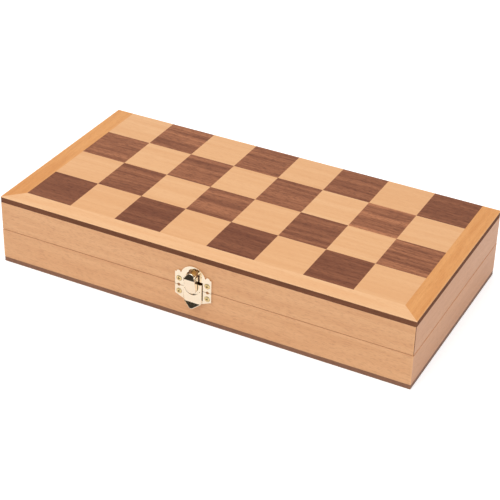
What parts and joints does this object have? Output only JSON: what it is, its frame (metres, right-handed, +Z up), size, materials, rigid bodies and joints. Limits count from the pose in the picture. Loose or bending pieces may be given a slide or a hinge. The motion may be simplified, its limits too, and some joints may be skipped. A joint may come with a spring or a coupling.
{
  "type": "folding chess box with chessmen",
  "caption": "Folding wooden chess box whose halves form the board, with a snap latch, two butt hinges, and chessmen in a fitted tray.",
  "frame": {"origin": "centre of the walls' footprint on the flat bottom face that the closed box rests on", "axes": "+X along the length to the right as seen from the latch, +Y from the latch side to the hinge side, +Z up through the lid"},
  "size_m": [0.35, 0.1846, 0.059],
  "materials": {
    "beech_wall": "satin lacquered beech with fine flecks",
    "stained_core": "dark stained board edge, matt",
    "walnut_veneer": "satin walnut veneer",
    "beech_veneer": "satin pale veneer",
    "border_veneer": "satin pale veneer",
    "felt_lining": "felt",
    "flocked_tray": "flocked",
    "latch_brass": "polished brass plate",
    "hinge_brass": "brass plate",
    "screw_brass": "brass plate",
    "spring_steel": "bright",
    "light_chessmen": "satin lacquered",
    "dark_chessmen": "satin lacquered"
  },
  "bodies": {
    "base": {"base_back_wall": "beech_wall", "base_border_strips": "border_veneer", "base_dark_squares": "walnut_veneer", "base_front_wall": "beech_wall", "base_hinge_leaves": "hinge_brass", "base_left_wall": "beech_wall", "base_light_squares": "beech_veneer", "base_panel": "stained_core", "base_right_wall": "beech_wall", "base_screws": "screw_brass", "piece_tray": "flocked_tray", "latch_catch_plate": "latch_brass", "hinge_pins": "hinge_brass"},
    "lid": {"lid_back_wall": "beech_wall", "lid_border_strips": "border_veneer", "lid_dark_squares": "walnut_veneer", "lid_front_wall": "beech_wall", "lid_hinge_leaves": "hinge_brass", "lid_left_wall": "beech_wall", "lid_light_squares": "beech_veneer", "lid_lining": "felt_lining", "lid_panel": "stained_core", "lid_right_wall": "beech_wall", "lid_screws": "screw_brass", "latch_keeper_plate": "latch_brass", "latch_pin": "latch_brass", "latch_spring": "spring_steel"},
    "latch_tongue": {"latch_tongue": "latch_brass"},
    "dark_bishop_1": {"dark_bishop_1": "dark_chessmen"},
    "dark_bishop_2": {"dark_bishop_2": "dark_chessmen"},
    "dark_king": {"dark_king": "dark_chessmen"},
    "dark_knight_1": {"dark_knight_1": "dark_chessmen"},
    "dark_knight_2": {"dark_knight_2": "dark_chessmen"},
    "dark_pawn_1": {"dark_pawn_1": "dark_chessmen"},
    "dark_pawn_2": {"dark_pawn_2": "dark_chessmen"},
    "dark_pawn_3": {"dark_pawn_3": "dark_chessmen"},
    "dark_pawn_4": {"dark_pawn_4": "dark_chessmen"},
    "dark_pawn_5": {"dark_pawn_5": "dark_chessmen"},
    "dark_pawn_6": {"dark_pawn_6": "dark_chessmen"},
    "dark_pawn_7": {"dark_pawn_7": "dark_chessmen"},
    "dark_pawn_8": {"dark_pawn_8": "dark_chessmen"},
    "dark_queen": {"dark_queen": "dark_chessmen"},
    "dark_rook_1": {"dark_rook_1": "dark_chessmen"},
    "dark_rook_2": {"dark_rook_2": "dark_chessmen"},
    "light_bishop_1": {"light_bishop_1": "light_chessmen"},
    "light_bishop_2": {"light_bishop_2": "light_chessmen"},
    "light_king": {"light_king": "light_chessmen"},
    "light_knight_1": {"light_knight_1": "light_chessmen"},
    "light_knight_2": {"light_knight_2": "light_chessmen"},
    "light_pawn_1": {"light_pawn_1": "light_chessmen"},
    "light_pawn_2": {"light_pawn_2": "light_chessmen"},
    "light_pawn_3": {"light_pawn_3": "light_chessmen"},
    "light_pawn_4": {"light_pawn_4": "light_chessmen"},
    "light_pawn_5": {"light_pawn_5": "light_chessmen"},
    "light_pawn_6": {"light_pawn_6": "light_chessmen"},
    "light_pawn_7": {"light_pawn_7": "light_chessmen"},
    "light_pawn_8": {"light_pawn_8": "light_chessmen"},
    "light_queen": {"light_queen": "light_chessmen"},
    "light_rook_1": {"light_rook_1": "light_chessmen"},
    "light_rook_2": {"light_rook_2": "light_chessmen"}
  },
  "joints": [
    {"name": "board_fold", "type": "hinge", "parent": "base", "child": "lid", "pos_m": [0, 0.0876, 0.0295], "axis": [-1, 0, 0], "range_deg": [0, 180]},
    {"name": "latch_tongue_swing", "type": "hinge", "parent": "lid", "child": "latch_tongue", "pos_m": [-0.002, -0.0914, 0.04], "axis": [-1, 0, 0], "range_deg": [0, 60], "stiffness_Nm_per_rad": 0.004, "springref_deg": -20.05, "deforming": ["latch_spring"]},
    {"name": "lift_dark_bishop_1", "type": "slide", "parent": "base", "child": "dark_bishop_1", "axis": [0, 0, 1], "range_m": [0, 0.018]},
    {"name": "lift_dark_bishop_2", "type": "slide", "parent": "base", "child": "dark_bishop_2", "axis": [0, 0, 1], "range_m": [0, 0.018]},
    {"name": "lift_dark_king", "type": "slide", "parent": "base", "child": "dark_king", "axis": [0, 0, 1], "range_m": [0, 0.018]},
    {"name": "lift_dark_knight_1", "type": "slide", "parent": "base", "child": "dark_knight_1", "axis": [0, 0, 1], "range_m": [0, 0.018]},
    {"name": "lift_dark_knight_2", "type": "slide", "parent": "base", "child": "dark_knight_2", "axis": [0, 0, 1], "range_m": [0, 0.018]},
    {"name": "lift_dark_pawn_1", "type": "slide", "parent": "base", "child": "dark_pawn_1", "axis": [0, 0, 1], "range_m": [0, 0.018]},
    {"name": "lift_dark_pawn_2", "type": "slide", "parent": "base", "child": "dark_pawn_2", "axis": [0, 0, 1], "range_m": [0, 0.018]},
    {"name": "lift_dark_pawn_3", "type": "slide", "parent": "base", "child": "dark_pawn_3", "axis": [0, 0, 1], "range_m": [0, 0.018]},
    {"name": "lift_dark_pawn_4", "type": "slide", "parent": "base", "child": "dark_pawn_4", "axis": [0, 0, 1], "range_m": [0, 0.018]},
    {"name": "lift_dark_pawn_5", "type": "slide", "parent": "base", "child": "dark_pawn_5", "axis": [0, 0, 1], "range_m": [0, 0.018]},
    {"name": "lift_dark_pawn_6", "type": "slide", "parent": "base", "child": "dark_pawn_6", "axis": [0, 0, 1], "range_m": [0, 0.018]},
    {"name": "lift_dark_pawn_7", "type": "slide", "parent": "base", "child": "dark_pawn_7", "axis": [0, 0, 1], "range_m": [0, 0.018]},
    {"name": "lift_dark_pawn_8", "type": "slide", "parent": "base", "child": "dark_pawn_8", "axis": [0, 0, 1], "range_m": [0, 0.018]},
    {"name": "lift_dark_queen", "type": "slide", "parent": "base", "child": "dark_queen", "axis": [0, 0, 1], "range_m": [0, 0.018]},
    {"name": "lift_dark_rook_1", "type": "slide", "parent": "base", "child": "dark_rook_1", "axis": [0, 0, 1], "range_m": [0, 0.018]},
    {"name": "lift_dark_rook_2", "type": "slide", "parent": "base", "child": "dark_rook_2", "axis": [0, 0, 1], "range_m": [0, 0.018]},
    {"name": "lift_light_bishop_1", "type": "slide", "parent": "base", "child": "light_bishop_1", "axis": [0, 0, 1], "range_m": [0, 0.018]},
    {"name": "lift_light_bishop_2", "type": "slide", "parent": "base", "child": "light_bishop_2", "axis": [0, 0, 1], "range_m": [0, 0.018]},
    {"name": "lift_light_king", "type": "slide", "parent": "base", "child": "light_king", "axis": [0, 0, 1], "range_m": [0, 0.018]},
    {"name": "lift_light_knight_1", "type": "slide", "parent": "base", "child": "light_knight_1", "axis": [0, 0, 1], "range_m": [0, 0.018]},
    {"name": "lift_light_knight_2", "type": "slide", "parent": "base", "child": "light_knight_2", "axis": [0, 0, 1], "range_m": [0, 0.018]},
    {"name": "lift_light_pawn_1", "type": "slide", "parent": "base", "child": "light_pawn_1", "axis": [0, 0, 1], "range_m": [0, 0.018]},
    {"name": "lift_light_pawn_2", "type": "slide", "parent": "base", "child": "light_pawn_2", "axis": [0, 0, 1], "range_m": [0, 0.018]},
    {"name": "lift_light_pawn_3", "type": "slide", "parent": "base", "child": "light_pawn_3", "axis": [0, 0, 1], "range_m": [0, 0.018]},
    {"name": "lift_light_pawn_4", "type": "slide", "parent": "base", "child": "light_pawn_4", "axis": [0, 0, 1], "range_m": [0, 0.018]},
    {"name": "lift_light_pawn_5", "type": "slide", "parent": "base", "child": "light_pawn_5", "axis": [0, 0, 1], "range_m": [0, 0.018]},
    {"name": "lift_light_pawn_6", "type": "slide", "parent": "base", "child": "light_pawn_6", "axis": [0, 0, 1], "range_m": [0, 0.018]},
    {"name": "lift_light_pawn_7", "type": "slide", "parent": "base", "child": "light_pawn_7", "axis": [0, 0, 1], "range_m": [0, 0.018]},
    {"name": "lift_light_pawn_8", "type": "slide", "parent": "base", "child": "light_pawn_8", "axis": [0, 0, 1], "range_m": [0, 0.018]},
    {"name": "lift_light_queen", "type": "slide", "parent": "base", "child": "light_queen", "axis": [0, 0, 1], "range_m": [0, 0.018]},
    {"name": "lift_light_rook_1", "type": "slide", "parent": "base", "child": "light_rook_1", "axis": [0, 0, 1], "range_m": [0, 0.018]},
    {"name": "lift_light_rook_2", "type": "slide", "parent": "base", "child": "light_rook_2", "axis": [0, 0, 1], "range_m": [0, 0.018]}
  ]
}
